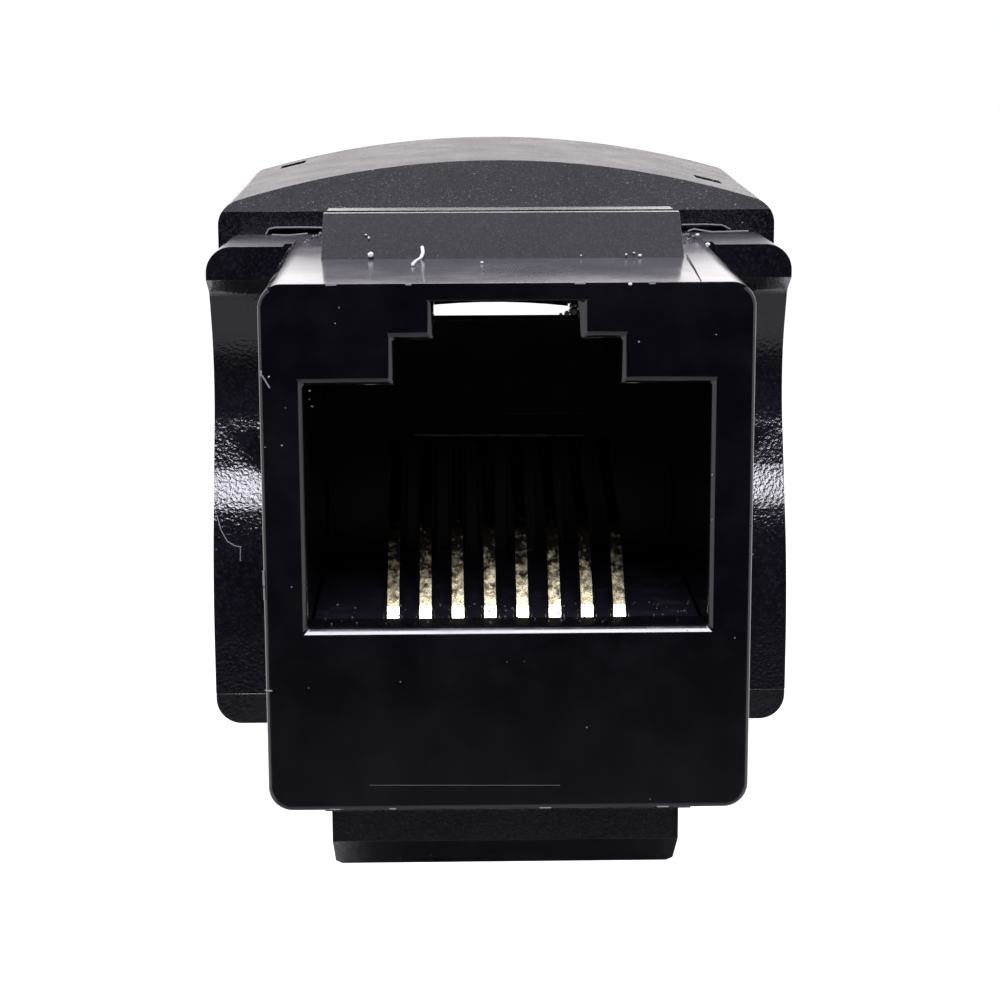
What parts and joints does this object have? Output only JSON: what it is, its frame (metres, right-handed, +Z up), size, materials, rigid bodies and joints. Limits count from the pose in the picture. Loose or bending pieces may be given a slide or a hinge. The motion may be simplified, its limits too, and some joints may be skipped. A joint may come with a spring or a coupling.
{
  "type": "keystone jack",
  "caption": "Black snap-in data socket: stepped plug port with gold spring contacts, snap latch, and punch-down towers under an arched lift-off cap.",
  "frame": {"origin": "middle of the plug port, in the plane of the front face", "axes": "+Y from the front face to the rear, along the plug's way in; +Z up, from the springy latch to the fixed lug; +X to the right as seen from the front"},
  "size_m": [0.0202, 0.03, 0.0233],
  "materials": {
    "nose_plastic": "glossy moulded black",
    "block_plastic": "fine spark-textured black",
    "cap_plastic": "fine spark-textured black",
    "cover_plastic": "satin black",
    "carrier_plastic": "satin black",
    "contact_gold": "gold-plated spring wire",
    "blade_metal": "tin-plated bronze",
    "board_laminate": "green solder mask"
  },
  "bodies": {
    "jack": {"jack_housing": "nose_plastic", "terminal_block": "block_plastic", "bottom_cover": "cover_plastic", "contact_carrier": "carrier_plastic", "circuit_board": "board_laminate", "spring_contact_1": "contact_gold", "spring_contact_2": "contact_gold", "spring_contact_3": "contact_gold", "spring_contact_4": "contact_gold", "spring_contact_5": "contact_gold", "spring_contact_6": "contact_gold", "spring_contact_7": "contact_gold", "spring_contact_8": "contact_gold", "idc_contact_1": "blade_metal", "idc_contact_2": "blade_metal", "idc_contact_3": "blade_metal", "idc_contact_4": "blade_metal", "idc_contact_5": "blade_metal", "idc_contact_6": "blade_metal", "idc_contact_7": "blade_metal", "idc_contact_8": "blade_metal"},
    "cap": {"dust_cap": "cap_plastic"}
  },
  "joints": [
    {"name": "cap_lift", "type": "slide", "parent": "jack", "child": "cap", "axis": [0, 0, 1], "range_m": [0, 0.008]}
  ]
}
